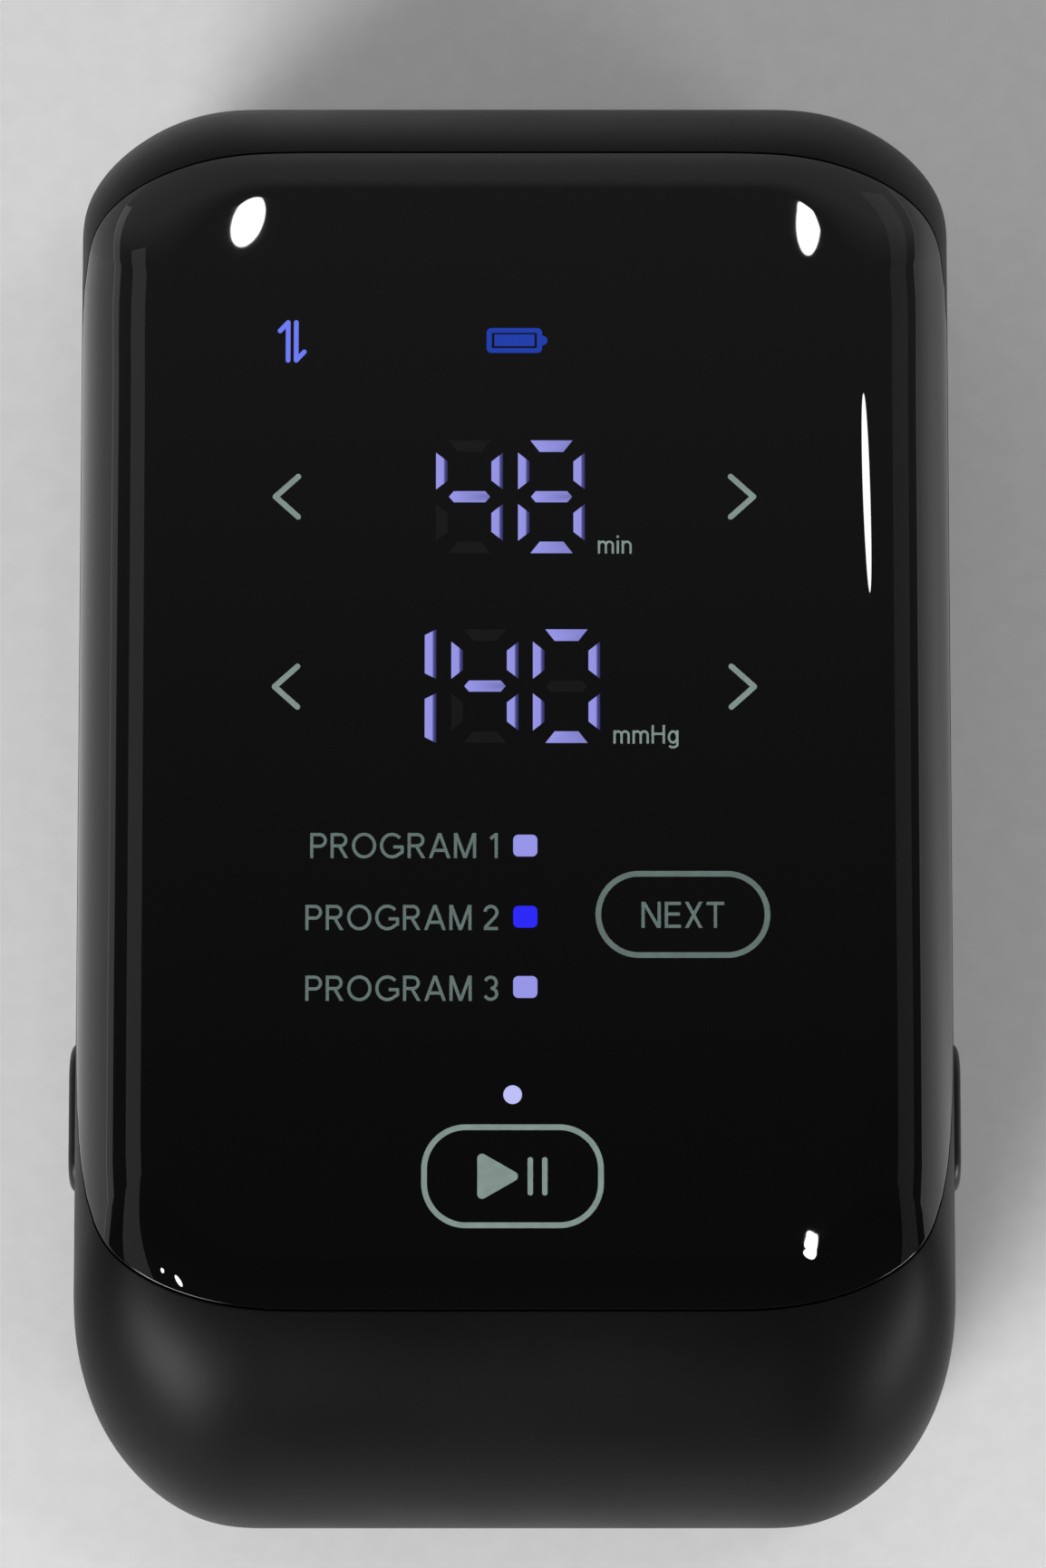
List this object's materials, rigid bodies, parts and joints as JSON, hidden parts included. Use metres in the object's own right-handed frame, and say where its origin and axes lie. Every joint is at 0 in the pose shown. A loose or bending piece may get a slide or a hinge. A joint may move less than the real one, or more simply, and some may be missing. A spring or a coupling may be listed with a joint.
{
  "type": "compression therapy pump",
  "caption": "Rounded hand-sized air pump unit with a curved gloss touch lens, lit digits, printed keys and a squeeze button on each side; a rear dock feeds air to a garment.",
  "frame": {"origin": "centre of the flat rear face, under the middle of the body", "axes": "+X to the right of the panel, +Y to the top of the panel, +Z out of the lens"},
  "size_m": [0.0824, 0.134, 0.046],
  "materials": {
    "lens": "high gloss",
    "shell": "fine matte texture",
    "release_button": "satin",
    "latch": "satin",
    "seal_rubber": "matte",
    "screw_steel": "zinc plated",
    "spring_steel": "bright wire",
    "touch_film": "clear amber film",
    "mask": "matte",
    "diffuser": "frosted",
    "led": "clear",
    "circuit_board": "solder mask",
    "chip": "matte",
    "dock": "satin",
    "manifold_plastic": "satin",
    "yoke_steel": "zinc plated",
    "coil_tape": "amber tape",
    "plunger_steel": "turned",
    "tube": "translucent silicone",
    "motor_steel": "plated",
    "magnet": "dull",
    "pump_plastic": "satin",
    "bush_brass": "sintered",
    "cell_wrap": "shrink wrap",
    "tray": "satin",
    "tab_nickel": "plain",
    "port_steel": "plated",
    "port_tongue": "matte",
    "filter_foam": "open foam"
  },
  "bodies": {
    "housing": {"front_lens": "lens", "front_housing": "shell", "rear_housing": "shell", "parting_seal": "seal_rubber", "housing_screws": "screw_steel", "screw_plugs": "seal_rubber", "release_spring_left": "spring_steel", "release_spring_right": "spring_steel", "touch_sheet": "touch_film", "display_mask": "mask", "segment_diffusers": "diffuser", "indicator_diffusers": "diffuser", "led_chips": "led", "control_board": "circuit_board", "board_screws": "screw_steel", "board_chips": "chip", "buzzer": "chip", "dock_plate": "dock", "manifold_gasket": "seal_rubber", "manifold": "manifold_plastic", "valve_yokes": "yoke_steel", "valve_coils": "coil_tape", "supply_tube": "tube", "pressure_sensor": "chip", "sensor_tube": "tube", "motor_can": "motor_steel", "motor_magnets": "magnet", "motor_cap": "pump_plastic", "motor_bushes": "bush_brass", "pump_base": "pump_plastic", "wobble_plate": "pump_plastic", "diaphragm": "seal_rubber", "chamber_plate": "pump_plastic", "pump_cover": "pump_plastic", "pump_screws": "screw_steel", "pump_cradles": "seal_rubber", "battery_cell_upper": "cell_wrap", "battery_cell_lower": "cell_wrap", "battery_tray": "tray", "cell_tabs": "tab_nickel", "charging_board": "circuit_board", "charger_screws": "screw_steel", "charger_chips": "chip", "usb_port": "port_steel", "usb_tongue": "port_tongue", "intake_filter": "filter_foam", "valve_spring_1": "spring_steel", "valve_spring_2": "spring_steel", "valve_spring_3": "spring_steel", "valve_spring_4": "spring_steel"},
    "left_release": {"release_button_left": "release_button", "latch_hook_left": "latch"},
    "right_release": {"release_button_right": "release_button", "latch_hook_right": "latch"},
    "pump_rotor": {"motor_rotor": "motor_steel", "drive_cup": "pump_plastic"},
    "valve_1": {"valve_plunger_1": "plunger_steel"},
    "valve_2": {"valve_plunger_2": "plunger_steel"},
    "valve_3": {"valve_plunger_3": "plunger_steel"},
    "valve_4": {"valve_plunger_4": "plunger_steel"}
  },
  "joints": [
    {"name": "left_release_press", "type": "slide", "parent": "housing", "child": "left_release", "axis": [1, 0, 0], "range_m": [0, 0.0018], "stiffness_N_per_m": 900, "springref_m": -0.001, "deforming": ["release_spring_left"]},
    {"name": "right_release_press", "type": "slide", "parent": "housing", "child": "right_release", "axis": [-1, 0, 0], "range_m": [0, 0.0018], "stiffness_N_per_m": 900, "springref_m": -0.001, "deforming": ["release_spring_right"]},
    {"name": "rotor_spin", "type": "hinge", "parent": "housing", "child": "pump_rotor", "pos_m": [0, -0.029, 0.0164], "axis": [1, 0, 0], "continuous": true},
    {"name": "valve_1_lift", "type": "slide", "parent": "housing", "child": "valve_1", "axis": [0, 0, 1], "range_m": [0, 0.0007], "stiffness_N_per_m": 600, "springref_m": -0.0008, "deforming": ["valve_spring_1"]},
    {"name": "valve_2_lift", "type": "slide", "parent": "housing", "child": "valve_2", "axis": [0, 0, 1], "range_m": [0, 0.0007], "stiffness_N_per_m": 600, "springref_m": -0.0008, "deforming": ["valve_spring_2"]},
    {"name": "valve_3_lift", "type": "slide", "parent": "housing", "child": "valve_3", "axis": [0, 0, 1], "range_m": [0, 0.0007], "stiffness_N_per_m": 600, "springref_m": -0.0008, "deforming": ["valve_spring_3"]},
    {"name": "valve_4_lift", "type": "slide", "parent": "housing", "child": "valve_4", "axis": [0, 0, 1], "range_m": [0, 0.0007], "stiffness_N_per_m": 600, "springref_m": -0.0008, "deforming": ["valve_spring_4"]}
  ]
}
